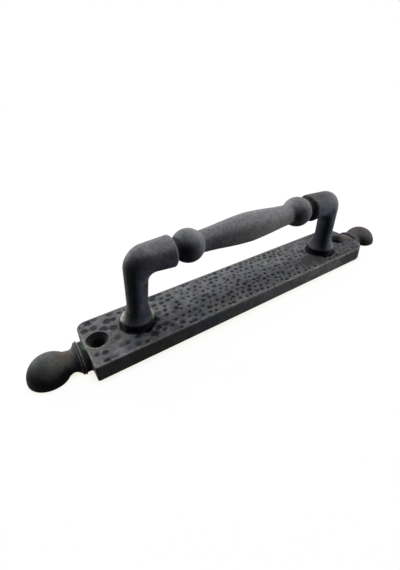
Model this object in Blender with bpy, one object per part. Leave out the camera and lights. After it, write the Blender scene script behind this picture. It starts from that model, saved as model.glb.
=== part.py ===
"""A door pull: a turned handle on a long hammered plate with a half-round finial at each end.

The pull lies on its back. The origin is the centre of the plate's back, X runs along the plate,
+Z points out of the door toward the hand, and all lengths are metres.
"""

import math
import random

import bmesh
import bpy
from mathutils import Matrix, Vector
from mathutils.geometry import delaunay_2d_cdt

# Posts and feet of the handle, which set how long the plate is. Distances run outward from the
# middle of the handle. The casting isn't quite square: its left foot stands farther out than the
# top of the post above it, its right foot farther in.
POST_REACH = 0.0847
LEFT_LEAN = 0.0031
RIGHT_LEAN = -0.0023
LEFT_FOOT_REACH = POST_REACH + LEFT_LEAN
RIGHT_FOOT_REACH = POST_REACH + RIGHT_LEAN
# The handle stands a little turned on the plate and a little nearer its near edge
HANDLE_TURN = -0.0282
HANDLE_ASIDE = -0.0014
FOOT_RADIUS = 0.0110
FOOT_BASE_RADIUS = 0.0101
FOOT_BASE_HEIGHT = 0.0032
FOOT_HEIGHT = 0.0150
FOOT_LIP = 0.0010

# Plate
PLATE_WIDTH = 0.044
PLATE_THICKNESS = 0.011
# Corner radii in plan, from the near left corner round to the far left one
CORNER_RADII = (0.0012, 0.0115, 0.0115, 0.0065)
EDGE_ROLL = 0.0006
CORNER_STEPS = 6

# Hammered face
DIMPLE_SPACING = 0.0055
DIMPLE_RADIUS = 0.0019
DIMPLE_DEPTH = 0.00075
DIMPLE_SIDES = 7
DIMPLE_SEED = 5
# Flat rim left round feet, screw holes and plate edge
DIMPLE_LAND = 0.0004

# Countersunk holes for the wood screws. Each stands between a foot and an end of the plate, the
# left one close to its end.
DOOR_HOLE_RADIUS = 0.0039
COUNTERSINK_RADIUS = 0.0072
LEFT_HOLE_TO_FOOT = 0.0097
LEFT_HOLE_TO_END = 0.0010
RIGHT_HOLE_TO_FOOT = 0.0105
RIGHT_HOLE_TO_END = 0.00525
HOLE_SIDES = 24

# Plate length from the middle of each foot to the end beyond it
LEFT_OVERHANG = FOOT_RADIUS + LEFT_HOLE_TO_FOOT + 2.0 * COUNTERSINK_RADIUS + LEFT_HOLE_TO_END
RIGHT_OVERHANG = FOOT_RADIUS + RIGHT_HOLE_TO_FOOT + 2.0 * COUNTERSINK_RADIUS + RIGHT_HOLE_TO_END
ALONG = math.cos(HANDLE_TURN)
ACROSS = math.sin(HANDLE_TURN)
PLATE_LENGTH = LEFT_OVERHANG + (LEFT_FOOT_REACH + RIGHT_FOOT_REACH) * ALONG + RIGHT_OVERHANG
# Distance of the handle's middle from the plate's middle
HANDLE_OFFSET = LEFT_OVERHANG + LEFT_FOOT_REACH * ALONG - PLATE_LENGTH / 2.0
LEFT_FOOT = (HANDLE_OFFSET - LEFT_FOOT_REACH * ALONG, HANDLE_ASIDE - LEFT_FOOT_REACH * ACROSS)
RIGHT_FOOT = (HANDLE_OFFSET + RIGHT_FOOT_REACH * ALONG, HANDLE_ASIDE + RIGHT_FOOT_REACH * ACROSS)
LEFT_HOLE_X = -PLATE_LENGTH / 2.0 + LEFT_HOLE_TO_END + COUNTERSINK_RADIUS
RIGHT_HOLE_X = PLATE_LENGTH / 2.0 - RIGHT_HOLE_TO_END - COUNTERSINK_RADIUS

# Finials, lengths measured outward from the end of the plate
FINIAL_BALL_RADIUS = 0.0131
FINIAL_BALL_REACH = 0.0220
FINIAL_NECK_RADIUS = 0.0083
FINIAL_NECK_REACH = 0.0098
FINIAL_COLLAR_RADIUS = 0.0121
FINIAL_COLLAR_REACH = 0.0036
FINIAL_COLLAR_WIDTH = 0.0014
FINIAL_STUB_RADIUS = 0.0117
FINIAL_SIDES = 16

# Handle, lengths measured outward from its middle
ARM_LENGTH = 0.0256
ARM_TO_BALL = 0.0114
GRIP_HEIGHT = 0.0549
POST_LOW_RADIUS = 0.0069
POST_TOP_RADIUS = 0.0072
ELBOW_OUTER_RADIUS = 0.0145
ELBOW_INNER_RADIUS = 0.0055
ARM_ROOT_RADIUS = 0.0097
ARM_END_RADIUS = 0.0106
GROOVE_RADIUS = 0.0077
GRIP_BALL_RADIUS = 0.0113
GRIP_NECK_RADIUS = 0.0075
GRIP_BELLY_RADIUS = 0.0105
HANDLE_SIDES = 24
ARM_END_REACH = POST_REACH - ARM_LENGTH
GRIP_BALL_REACH = ARM_END_REACH - ARM_TO_BALL

# Machine screws from the back
SCREW_RADIUS = 0.0025
SCREW_HEAD_RADIUS = 0.0046
SCREW_HEAD_HEIGHT = 0.0030
SCREW_GRIP = 0.0120
SCREW_SIDES = 20
SLOT_WIDTH = 0.0011
SLOT_DEPTH = 0.0012
FIT_CLEARANCE = 0.0003

# Depth of the screw head's seat in the back and of the blind hole in each foot
SEAT_DEPTH = SCREW_HEAD_HEIGHT + 0.0015
FOOT_HOLE_DEPTH = SCREW_GRIP + 0.0020


def clear_scene():
    for old in list(bpy.data.objects):
        bpy.data.objects.remove(old, do_unlink=True)
    for mesh in list(bpy.data.meshes):
        bpy.data.meshes.remove(mesh)


def make_material(name, color, metallic, roughness):
    material = bpy.data.materials.new(name)
    material.use_nodes = True
    shader = material.node_tree.nodes["Principled BSDF"]
    shader.inputs["Base Color"].default_value = (*color, 1.0)
    shader.inputs["Metallic"].default_value = metallic
    shader.inputs["Roughness"].default_value = roughness
    material.diffuse_color = (*color, 1.0)
    return material


def finish(name, mesh, material, smooth_angle=None):
    """Turns the faces outward and puts the mesh into the scene as one named object."""
    bmesh.ops.remove_doubles(mesh, verts=mesh.verts, dist=1e-6)
    bmesh.ops.recalc_face_normals(mesh, faces=mesh.faces)
    if mesh.calc_volume(signed=True) < 0.0:
        bmesh.ops.reverse_faces(mesh, faces=mesh.faces)
    data = bpy.data.meshes.new(name)
    mesh.to_mesh(data)
    mesh.free()
    data.materials.append(material)
    obj = bpy.data.objects.new(name, data)
    bpy.context.scene.collection.objects.link(obj)
    if smooth_angle is not None:
        data.shade_smooth()
        data.set_sharp_from_angle(angle=smooth_angle)
    return obj


def join_rings(mesh, rings):
    """Skins closed rings that have the same number of corners."""
    for lower, upper in zip(rings, rings[1:]):
        count = len(lower)
        for i in range(count):
            j = (i + 1) % count
            mesh.faces.new((lower[i], lower[j], upper[j], upper[i]))


def flat_ring(mesh, x, y, z, radius, sides):
    return [
        mesh.verts.new((
            x + radius * math.cos(2.0 * math.pi * i / sides),
            y + radius * math.sin(2.0 * math.pi * i / sides),
            z,
        ))
        for i in range(sides)
    ]


def plate_outline(inset):
    """Corners of the plate in plan, each rounded by its own radius, pulled in by inset."""
    half_length = PLATE_LENGTH / 2.0 - inset
    half_width = PLATE_WIDTH / 2.0 - inset
    signs = ((-1, -1), (1, -1), (1, 1), (-1, 1))
    points = []
    for number, (sx, sy) in enumerate(signs):
        radius = max(CORNER_RADII[number] - inset, 0.0003)
        cx = sx * (half_length - radius)
        cy = sy * (half_width - radius)
        start = math.pi + number * math.pi / 2.0
        for step in range(CORNER_STEPS + 1):
            angle = start + step * math.pi / (2.0 * CORNER_STEPS)
            points.append((cx + radius * math.cos(angle), cy + radius * math.sin(angle)))
    return points


def dimple_centres(outline_half_length, outline_half_width):
    """Hammer marks in loose staggered rows, kept off the edge, the feet and the holes."""
    rng = random.Random(DIMPLE_SEED)
    row_gap = DIMPLE_SPACING * 0.93
    rows = max(1, int(2.0 * outline_half_width / row_gap))
    columns = max(1, int(2.0 * outline_half_length / DIMPLE_SPACING)) + 1
    keep_off = [
        (*LEFT_FOOT, FOOT_RADIUS),
        (*RIGHT_FOOT, FOOT_RADIUS),
        (LEFT_HOLE_X, 0.0, COUNTERSINK_RADIUS),
        (RIGHT_HOLE_X, 0.0, COUNTERSINK_RADIUS),
    ]
    marks = []
    for row in range(rows):
        y0 = (row - (rows - 1) / 2.0) * row_gap
        shift = 0.5 if row % 2 else 0.0
        for column in range(columns):
            x0 = (column + shift - columns / 2.0) * DIMPLE_SPACING
            x = x0 + rng.uniform(-0.16, 0.16) * DIMPLE_SPACING
            y = y0 + rng.uniform(-0.12, 0.12) * DIMPLE_SPACING
            left_end = min(1.0, max(0.0, (-x / outline_half_length - 0.3) / 0.5))
            size = DIMPLE_RADIUS * (rng.uniform(0.84, 1.02) + 0.32 * left_end)
            depth = DIMPLE_DEPTH * rng.uniform(0.8, 1.15)
            turn = rng.uniform(0.0, math.pi)
            border = size + DIMPLE_LAND
            if abs(x) > outline_half_length - border or abs(y) > outline_half_width - border:
                continue
            corner = max(CORNER_RADII)
            dx = abs(x) - (outline_half_length - corner)
            dy = abs(y) - (outline_half_width - corner)
            if dx > 0.0 and dy > 0.0 and math.hypot(dx, dy) > corner - border:
                continue
            if any(math.hypot(x - kx, y - ky) < kr + border for kx, ky, kr in keep_off):
                continue
            if any(math.hypot(x - mx, y - my) < size + ms + 0.0002 for mx, my, ms, _, _ in marks):
                continue
            marks.append((x, y, size, depth, turn))
    return marks


def triangulated(mesh, loops, heights, loose=()):
    """Fills the space between closed loops of mesh corners; loose points lie inside it."""
    points = []
    corners = []
    edges = []
    for loop in loops:
        first = len(points)
        for vert in loop:
            points.append(Vector((vert.co.x, vert.co.y)))
            corners.append(vert)
        count = len(loop)
        edges += [(first + i, first + (i + 1) % count) for i in range(count)]
    for (x, y), z in zip(loose, heights):
        points.append(Vector((x, y)))
        corners.append(mesh.verts.new((x, y, z)))
    _, _, faces, origins, _, _ = delaunay_2d_cdt(points, edges, [], 2, 1e-7)
    outer = [Vector((v.co.x, v.co.y)) for v in loops[0]]
    holes = [[Vector((v.co.x, v.co.y)) for v in loop] for loop in loops[1:]]
    for face in faces:
        picked = [corners[origins[i][0]] for i in face]
        middle = sum((points[origins[i][0]] for i in face), Vector((0.0, 0.0))) / len(face)
        if not inside(middle, outer) or any(inside(middle, hole) for hole in holes):
            continue
        mesh.faces.new(picked)


def inside(point, loop):
    """Even-odd test of a plan point against a closed loop."""
    found = False
    for a, b in zip(loop, loop[1:] + loop[:1]):
        if (a.y > point.y) != (b.y > point.y):
            if point.x < a.x + (point.y - a.y) * (b.x - a.x) / (b.y - a.y):
                found = not found
    return found


def build_plate_body():
    """The plate with its hammered face, two countersunk holes and two stepped screw holes."""
    mesh = bmesh.new()
    top = PLATE_THICKNESS
    half_length = PLATE_LENGTH / 2.0 - EDGE_ROLL
    half_width = PLATE_WIDTH / 2.0 - EDGE_ROLL
    roll_levels = ((0.0, 0.0), (0.0, top - EDGE_ROLL), (EDGE_ROLL * 0.3, top - EDGE_ROLL * 0.3),
                   (EDGE_ROLL, top))
    walls = []
    for inset, height in roll_levels:
        walls.append([mesh.verts.new((x, y, height)) for x, y in plate_outline(inset)])
    join_rings(mesh, walls)

    top_loops = [walls[-1]]
    back_loops = [walls[0]]
    cone_depth = COUNTERSINK_RADIUS - DOOR_HOLE_RADIUS
    for x in (LEFT_HOLE_X, RIGHT_HOLE_X):
        rim = flat_ring(mesh, x, 0.0, top, COUNTERSINK_RADIUS, HOLE_SIDES)
        throat = flat_ring(mesh, x, 0.0, top - cone_depth, DOOR_HOLE_RADIUS, HOLE_SIDES)
        back = flat_ring(mesh, x, 0.0, 0.0, DOOR_HOLE_RADIUS, HOLE_SIDES)
        join_rings(mesh, [rim, throat, back])
        top_loops.append(rim)
        back_loops.append(back)
    bore = SCREW_RADIUS + FIT_CLEARANCE
    seat = SCREW_HEAD_RADIUS + FIT_CLEARANCE
    for x, y in (LEFT_FOOT, RIGHT_FOOT):
        rim = flat_ring(mesh, x, y, top, bore, SCREW_SIDES)
        shelf_in = flat_ring(mesh, x, y, SEAT_DEPTH, bore, SCREW_SIDES)
        shelf_out = flat_ring(mesh, x, y, SEAT_DEPTH, seat, SCREW_SIDES)
        back = flat_ring(mesh, x, y, 0.0, seat, SCREW_SIDES)
        join_rings(mesh, [rim, shelf_in, shelf_out, back])
        top_loops.append(rim)
        back_loops.append(back)

    loose = []
    heights = []
    for x, y, size, depth, turn in dimple_centres(half_length, half_width):
        loose.append((x, y))
        heights.append(top - depth)
        for i in range(DIMPLE_SIDES):
            angle = turn + 2.0 * math.pi * i / DIMPLE_SIDES
            loose.append((x + size * math.cos(angle), y + size * math.sin(angle)))
            heights.append(top)
    triangulated(mesh, top_loops, heights, loose)
    triangulated(mesh, back_loops, ())
    return mesh


def finial_profile():
    """Reach and radius from inside the plate out to the tip of the ball."""
    stub = FINIAL_STUB_RADIUS
    collar_end = FINIAL_COLLAR_REACH + FINIAL_COLLAR_WIDTH
    points = [(-0.0020, stub), (FINIAL_COLLAR_REACH, stub)]
    points.append((FINIAL_COLLAR_REACH, FINIAL_COLLAR_RADIUS))
    points.append((collar_end, FINIAL_COLLAR_RADIUS))
    lip = FINIAL_COLLAR_RADIUS * 0.94
    for step in range(1, 5):
        turn = step / 4.0
        reach = collar_end + (FINIAL_NECK_REACH - collar_end) * turn
        radius = FINIAL_NECK_RADIUS + (lip - FINIAL_NECK_RADIUS) * (1.0 - turn) ** 2.6
        points.append((reach, radius))
    blend = FINIAL_BALL_REACH - FINIAL_BALL_RADIUS * 0.72
    blend_radius = FINIAL_BALL_RADIUS * math.sqrt(1.0 - 0.72 ** 2)
    for step in (1, 2):
        turn = step / 3.0
        reach = FINIAL_NECK_REACH + (blend - FINIAL_NECK_REACH) * turn
        radius = FINIAL_NECK_RADIUS + (blend_radius - FINIAL_NECK_RADIUS) * turn ** 1.35
        points.append((reach, radius))
    start = math.acos(-0.72)
    for step in range(10):
        angle = start * (1.0 - step / 10.0)
        points.append((
            FINIAL_BALL_REACH + FINIAL_BALL_RADIUS * math.cos(angle),
            FINIAL_BALL_RADIUS * math.sin(angle),
        ))
    return points


def build_finial(side):
    """Half-round finial on one end, cut flat by the back and level with the face at its stub."""
    mesh = bmesh.new()
    end = PLATE_LENGTH / 2.0
    level = PLATE_THICKNESS
    rings = []
    for reach, radius in finial_profile():
        ring = []
        for i in range(FINIAL_SIDES + 1):
            angle = math.pi * i / FINIAL_SIDES
            height = radius * math.sin(angle)
            if reach <= FINIAL_COLLAR_REACH and radius < FINIAL_COLLAR_RADIUS:
                height = min(height, level)
            ring.append(mesh.verts.new((side * (end + reach), radius * math.cos(angle), height)))
        rings.append(ring)
    join_rings(mesh, rings)
    tip = mesh.verts.new((side * (end + FINIAL_BALL_REACH + FINIAL_BALL_RADIUS), 0.0, 0.0))
    last = rings[-1]
    for a, b in zip(last, last[1:] + last[:1]):
        mesh.faces.new((a, b, tip))
    mesh.faces.new(list(reversed(rings[0])))
    bmesh.ops.recalc_face_normals(mesh, faces=mesh.faces)
    return mesh


def unite(base, other):
    """Adds the second object to the first and removes the second."""
    modifier = base.modifiers.new("unite", "BOOLEAN")
    modifier.operation = "UNION"
    modifier.solver = "EXACT"
    modifier.object = other
    depsgraph = bpy.context.evaluated_depsgraph_get()
    data = bpy.data.meshes.new_from_object(base.evaluated_get(depsgraph))
    base.modifiers.clear()
    old = base.data
    base.data = data
    bpy.data.meshes.remove(old)
    bpy.data.objects.remove(other, do_unlink=True)


def tidy(obj, smooth_angle):
    mesh = bmesh.new()
    mesh.from_mesh(obj.data)
    bmesh.ops.remove_doubles(mesh, verts=mesh.verts, dist=5e-6)
    bmesh.ops.dissolve_degenerate(mesh, edges=mesh.edges, dist=5e-6)
    bmesh.ops.triangulate(mesh, faces=mesh.faces)
    bmesh.ops.recalc_face_normals(mesh, faces=mesh.faces)
    mesh.to_mesh(obj.data)
    mesh.free()
    obj.data.shade_smooth()
    obj.data.set_sharp_from_angle(angle=smooth_angle)


def build_backplate(material):
    plate = finish("backplate", build_plate_body(), material)
    for side in (-1, 1):
        finial = finish("finial", build_finial(side), material)
        unite(plate, finial)
    plate.data.name = "backplate"
    tidy(plate, math.radians(32.0))
    return plate


def grip_profile():
    """Distance from the middle and radius, from the arm's end in to the middle of the grip."""
    points = [
        (ARM_END_REACH + 0.0012, ARM_END_RADIUS),
        (ARM_END_REACH + 0.0003, ARM_END_RADIUS * 0.975),
        (ARM_END_REACH, ARM_END_RADIUS * 0.92),
        (ARM_END_REACH - 0.0004, GROOVE_RADIUS),
    ]
    ball_outer = math.sqrt(max(GRIP_BALL_RADIUS ** 2 - GROOVE_RADIUS ** 2, 1e-8))
    ball_inner = math.sqrt(max(GRIP_BALL_RADIUS ** 2 - GRIP_NECK_RADIUS ** 2, 1e-8))
    start = math.atan2(GROOVE_RADIUS, ball_outer)
    stop = math.pi - math.atan2(GRIP_NECK_RADIUS, ball_inner)
    for step in range(11):
        angle = start + (stop - start) * step / 10.0
        points.append((
            GRIP_BALL_REACH + GRIP_BALL_RADIUS * math.cos(angle),
            GRIP_BALL_RADIUS * math.sin(angle),
        ))
    neck = points[-1][0]
    for step in range(1, 7):
        along = step / 6.0
        swell = 0.5 - 0.5 * math.cos(math.pi * along ** 0.9)
        radius = GRIP_NECK_RADIUS + (GRIP_BELLY_RADIUS - GRIP_NECK_RADIUS) * (
            0.35 * along + 0.65 * swell)
        points.append((neck * (1.0 - along), radius))
    return points


def foot_rings():
    """Height and radius from the foot's underside to the straight of the post."""
    base = PLATE_THICKNESS + FIT_CLEARANCE
    rim = base + FOOT_BASE_HEIGHT
    rings = [(base, FOOT_BASE_RADIUS), (rim - FOOT_LIP * 0.5, FOOT_BASE_RADIUS),
             (rim, FOOT_RADIUS), (rim + FOOT_LIP, FOOT_RADIUS * 0.975)]
    for step in range(1, 6):
        up = step / 5.0
        radius = POST_LOW_RADIUS + (FOOT_RADIUS * 0.975 - POST_LOW_RADIUS) * (1.0 - up) ** 1.9
        rings.append((rim + FOOT_LIP + (base + FOOT_HEIGHT - rim - FOOT_LIP) * up, radius))
    return rings


def handle_stations(foot_reach):
    """Pairs of guide points, inner and outer, in the plane of the handle, with a half width.

    Each ring of the loft is spanned between the two guide points, so the outer line can turn on a
    large radius and the inner line on a small one. Distances run outward from the middle. The
    post leans from its foot to the elbow, and only the foot's base stands upright.
    """
    stations = []
    base = PLATE_THICKNESS + FIT_CLEARANCE + FOOT_BASE_HEIGHT
    elbow = GRIP_HEIGHT - ARM_ROOT_RADIUS - ELBOW_INNER_RADIUS
    for height, radius in foot_rings():
        up = max(0.0, (height - base) / (elbow - base))
        middle = foot_reach + (POST_REACH - foot_reach) * up
        stations.append(((middle - radius, height), (middle + radius, height), radius))
    inner_x = POST_REACH - POST_TOP_RADIUS
    outer_x = POST_REACH + POST_TOP_RADIUS
    under = GRIP_HEIGHT - ARM_ROOT_RADIUS
    over = GRIP_HEIGHT + ARM_ROOT_RADIUS
    inner_centre = (inner_x - ELBOW_INNER_RADIUS, under - ELBOW_INNER_RADIUS)
    outer_centre = (outer_x - ELBOW_OUTER_RADIUS, over - ELBOW_OUTER_RADIUS)
    low = stations[-1]
    start = ((inner_x, inner_centre[1]), (outer_x, outer_centre[1]), POST_TOP_RADIUS)
    for step in (1, 2):
        part = step / 3.0
        stations.append((mix(low[0], start[0], part), mix(low[1], start[1], part),
                         low[2] + (start[2] - low[2]) * part))
    for step in range(9):
        angle = math.pi / 2.0 * step / 8.0
        blend = step / 8.0
        width = POST_TOP_RADIUS + (ARM_ROOT_RADIUS - POST_TOP_RADIUS) * blend
        stations.append((
            (inner_centre[0] + ELBOW_INNER_RADIUS * math.cos(angle),
             inner_centre[1] + ELBOW_INNER_RADIUS * math.sin(angle)),
            (outer_centre[0] + ELBOW_OUTER_RADIUS * math.cos(angle),
             outer_centre[1] + ELBOW_OUTER_RADIUS * math.sin(angle)),
            width,
        ))
    profile = grip_profile()
    last = stations[-1]
    first = profile[0]
    target = ((first[0], GRIP_HEIGHT - first[1]), (first[0], GRIP_HEIGHT + first[1]), first[1])
    stations.append((mix(last[0], target[0], 0.5), mix(last[1], target[1], 0.5),
                     (last[2] + target[2]) / 2.0))
    for reach, radius in profile:
        stations.append(((reach, GRIP_HEIGHT - radius), (reach, GRIP_HEIGHT + radius), radius))
    return stations


def mix(a, b, part):
    return tuple(p + (q - p) * part for p, q in zip(a, b))


def loft_ring(mesh, inner, outer, width, side):
    """One oval ring between an inner and an outer guide point; side mirrors it."""
    middle = mix(inner, outer, 0.5)
    reach = ((outer[0] - inner[0]) / 2.0, (outer[1] - inner[1]) / 2.0)
    ring = []
    for i in range(HANDLE_SIDES):
        angle = 2.0 * math.pi * i / HANDLE_SIDES
        across = math.cos(angle)
        ring.append(mesh.verts.new((
            side * (middle[0] + reach[0] * across),
            width * math.sin(angle),
            middle[1] + reach[1] * across,
        )))
    return ring


def close_foot(mesh, ring, foot_x, side):
    """Underside of a foot with the blind hole for the screw."""
    bore = SCREW_RADIUS + FIT_CLEARANCE
    base = PLATE_THICKNESS + FIT_CLEARANCE
    levels = []
    for height in (base, base + FOOT_HOLE_DEPTH):
        levels.append([
            mesh.verts.new((
                foot_x + side * bore * math.cos(2.0 * math.pi * i / HANDLE_SIDES),
                bore * math.sin(2.0 * math.pi * i / HANDLE_SIDES),
                height,
            ))
            for i in range(HANDLE_SIDES)
        ])
    join_rings(mesh, [ring, levels[0], levels[1]])
    tip = mesh.verts.new((foot_x, 0.0, base + FOOT_HOLE_DEPTH + bore * 0.5))
    for a, b in zip(levels[1], levels[1][1:] + levels[1][:1]):
        mesh.faces.new((a, b, tip))


def build_handle(material):
    """The casting is lofted square to its own middle, then turned and set on the plate."""
    mesh = bmesh.new()
    left = handle_stations(LEFT_FOOT_REACH)
    right = handle_stations(RIGHT_FOOT_REACH)
    rings = [loft_ring(mesh, inner, outer, width, -1) for inner, outer, width in left]
    rings += [loft_ring(mesh, inner, outer, width, 1)
              for inner, outer, width in reversed(right[:-1])]
    join_rings(mesh, rings)
    close_foot(mesh, rings[0], -LEFT_FOOT_REACH, -1)
    close_foot(mesh, rings[-1], RIGHT_FOOT_REACH, 1)
    place = Matrix.Translation((HANDLE_OFFSET, HANDLE_ASIDE, 0.0)) @ Matrix.Rotation(HANDLE_TURN, 4, "Z")
    bmesh.ops.transform(mesh, matrix=place, verts=mesh.verts)
    return finish("pull_handle", mesh, material, math.radians(38.0))


def build_screw(name, x, y, material):
    """Slotted cheese-head screw that stands in the plate's back and reaches into the foot."""
    mesh = bmesh.new()
    seat = SEAT_DEPTH - FIT_CLEARANCE
    low = seat - SCREW_HEAD_HEIGHT
    stem_top = PLATE_THICKNESS + SCREW_GRIP
    head = SCREW_HEAD_RADIUS
    stem = SCREW_RADIUS
    levels = ((low, head * 0.9), (low + 0.0004, head), (seat, head), (seat, stem),
              (stem_top - stem * 0.4, stem), (stem_top, stem * 0.6))
    rings = [flat_ring(mesh, x, y, z, radius, SCREW_SIDES) for z, radius in levels]
    join_rings(mesh, rings)
    mesh.faces.new(list(reversed(rings[0])))
    mesh.faces.new(rings[-1])
    screw = finish(name, mesh, material)

    cutter_mesh = bmesh.new()
    size = Matrix.Diagonal((head * 2.6, SLOT_WIDTH, SLOT_DEPTH * 2.0, 1.0))
    bmesh.ops.create_cube(cutter_mesh, size=1.0, matrix=Matrix.Translation((x, y, low)) @ size)
    cutter = finish("slot", cutter_mesh, material)
    modifier = screw.modifiers.new("slot", "BOOLEAN")
    modifier.operation = "DIFFERENCE"
    modifier.solver = "EXACT"
    modifier.object = cutter
    depsgraph = bpy.context.evaluated_depsgraph_get()
    data = bpy.data.meshes.new_from_object(screw.evaluated_get(depsgraph))
    screw.modifiers.clear()
    old = screw.data
    screw.data = data
    bpy.data.meshes.remove(old)
    bpy.data.objects.remove(cutter, do_unlink=True)
    screw.data.name = name
    tidy(screw, math.radians(35.0))
    return screw


def main():
    clear_scene()
    plate_metal = make_material("plate_black", (0.045, 0.047, 0.052), 0.35, 0.55)
    handle_metal = make_material("handle_black", (0.040, 0.041, 0.045), 0.35, 0.50)
    screw_metal = make_material("screw_steel", (0.42, 0.41, 0.39), 0.9, 0.4)
    build_backplate(plate_metal)
    build_handle(handle_metal)
    build_screw("fixing_screw_left", *LEFT_FOOT, screw_metal)
    build_screw("fixing_screw_right", *RIGHT_FOOT, screw_metal)


main()
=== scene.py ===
# %% [markdown]
# # A black door pull with a hammered plate
# The real object is a cast pull: a turned grip on two posts, standing on a long plate whose face
# is hammered all over, with half a ball at each end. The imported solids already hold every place
# and size, so they are loaded first. The lesson then builds a fine plate, a fine handle and two
# threaded screws over them, gives each its finish, and ends with a white studio and the camera.

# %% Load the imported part
import math

import bmesh
import bpy
import numpy as np
from mathutils import Matrix, Vector, noise
from mathutils.geometry import delaunay_2d_cdt


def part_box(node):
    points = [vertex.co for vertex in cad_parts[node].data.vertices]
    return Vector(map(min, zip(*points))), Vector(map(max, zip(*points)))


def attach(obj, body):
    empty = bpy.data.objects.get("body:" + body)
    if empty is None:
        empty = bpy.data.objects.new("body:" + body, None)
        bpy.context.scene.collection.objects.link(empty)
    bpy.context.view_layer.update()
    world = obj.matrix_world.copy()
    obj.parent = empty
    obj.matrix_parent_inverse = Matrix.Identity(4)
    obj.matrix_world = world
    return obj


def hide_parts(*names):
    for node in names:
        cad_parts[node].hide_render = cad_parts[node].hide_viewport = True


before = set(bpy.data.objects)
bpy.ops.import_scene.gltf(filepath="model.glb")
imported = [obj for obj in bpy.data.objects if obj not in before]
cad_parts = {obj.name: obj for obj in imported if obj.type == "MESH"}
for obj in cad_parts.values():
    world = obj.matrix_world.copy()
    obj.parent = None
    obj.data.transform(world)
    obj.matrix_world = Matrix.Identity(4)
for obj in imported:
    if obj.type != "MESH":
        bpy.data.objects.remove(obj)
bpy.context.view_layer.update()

# %% [markdown]
# ## Sizes
# The pull lies on its back: X runs along the plate, Z points to the hand, and the origin is the
# middle of the plate's back. The same few sizes place the feet, the holes and the finials, so
# they are written once. Everything is in metres.

# %% Sizes shared by the pieces
PLATE_LENGTH = 0.2474
PLATE_WIDTH = 0.044
PLATE_TOP = 0.011
FOOT_RADIUS = 0.0110
FEET = ((-0.08759, 0.00108), (0.08254, -0.00372))
HOLES = ((-0.11549, 0.0), (0.11124, 0.0))
SINK_RADIUS = 0.0072
DOOR_HOLE_RADIUS = 0.0039
half_length, half_width = PLATE_LENGTH / 2, PLATE_WIDTH / 2
print("plate from x", -half_length, "to", half_length)

# %% [markdown]
# ## Rings and skins
# A casting like this one is nearly all rounded sections, so most of it can be drawn as rings of
# points that are skinned one after another. Two small helpers do that, and a third turns the
# finished mesh into an object with its faces outward.

# %% Helpers for skinned rings
def skin(mesh, rings):
    for lower, upper in zip(rings, rings[1:]):
        for i in range(len(lower)):
            j = (i + 1) % len(lower)
            mesh.faces.new((lower[i], lower[j], upper[j], upper[i]))


def round_ring(mesh, x, y, z, radius, sides):
    turns = [2 * math.pi * i / sides for i in range(sides)]
    return [mesh.verts.new((x + radius * math.cos(t), y + radius * math.sin(t), z)) for t in turns]


def stand(name, mesh):
    bmesh.ops.remove_doubles(mesh, verts=mesh.verts, dist=1e-6)
    bmesh.ops.recalc_face_normals(mesh, faces=mesh.faces)
    if mesh.calc_volume(signed=True) < 0:
        bmesh.ops.reverse_faces(mesh, faces=mesh.faces)
    data = bpy.data.meshes.new(name)
    mesh.to_mesh(data)
    mesh.free()
    obj = bpy.data.objects.new(name, data)
    bpy.context.scene.collection.objects.link(obj)
    print(name, len(data.vertices), "points", len(data.polygons), "faces")
    return obj

# %% [markdown]
# ## Plan of the plate
# The real plate isn't a neat rectangle. Its near left corner is almost square, the far left one
# is a little round, and both right corners are round. A bevelled cube would round all four alike,
# so the outline is written corner by corner, with the same number of points for every inset.

# %% Outline and distance from the edge
CORNERS = ((-1, -1, 0.0012), (1, -1, 0.0145), (1, 1, 0.0115), (-1, 1, 0.0065))
SHARPEST_CORNER, ARC_STEPS, STRAIGHT_STEPS = 0.0004, 10, (230, 40, 230, 40)


def plan(inset):
    arcs = []
    for number, (sx, sy, corner) in enumerate(CORNERS):
        radius = max(corner - inset, SHARPEST_CORNER)
        cx, cy = sx * (half_length - inset - radius), sy * (half_width - inset - radius)
        turns = [math.pi * (1 + number / 2 + step / ARC_STEPS / 2)
                 for step in range(ARC_STEPS + 1)]
        arcs.append([(cx + radius * math.cos(t), cy + radius * math.sin(t)) for t in turns])
    points = []
    for arc, following, steps in zip(arcs, arcs[1:] + arcs[:1], STRAIGHT_STEPS):
        (ax, ay), (bx, by) = arc[-1], following[0]
        points += arc
        points += [(ax + (bx - ax) * s / steps, ay + (by - ay) * s / steps)
                   for s in range(1, steps)]
    return points


def edge_gap(x, y):
    gap = np.minimum(half_length - np.abs(x), half_width - np.abs(y))
    for sx, sy, corner in CORNERS:
        cx, cy = sx * (half_length - corner), sy * (half_width - corner)
        in_corner = (sx * (x - cx) > 0) & (sy * (y - cy) > 0)
        gap = np.where(in_corner, corner - np.hypot(x - cx, y - cy), gap)
    return gap


print("outline points", len(plan(0.0)))

# %% [markdown]
# ## Face of the plate
# The hammer marks will be real hollows, a few millimetres across, so the face needs points about
# half a millimetre apart. A plain grid would leave ragged rims round the holes. The points are
# laid in a honeycomb instead, kept clear of every rim, and a triangulation joins them to the rims.

# %% Points for the face and its triangles
EDGE_ROLL, FACE_STEP = 0.0007, 0.00052
ROW_STEP, CLEARANCE = 0.866 * FACE_STEP, 0.6 * FACE_STEP
JOINT_DEPTH, JOINT_HALF = 0.0016, 0.0085


def face_points(keep_off):
    """A honeycomb, clear of every rim and of the two places where a finial will join."""
    x, y = np.meshgrid(np.arange(-half_length, half_length, FACE_STEP),
                       np.arange(-half_width, half_width, ROW_STEP))
    x[1::2] += FACE_STEP / 2
    x, y = x.ravel(), y.ravel()
    keep = edge_gap(x, y) > EDGE_ROLL + CLEARANCE
    keep &= ~((np.abs(y) < JOINT_HALF) & (np.abs(x) > half_length - JOINT_DEPTH))
    for cx, cy, radius in keep_off:
        keep &= np.hypot(x - cx, y - cy) > radius + CLEARANCE
    return x[keep], y[keep]


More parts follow.
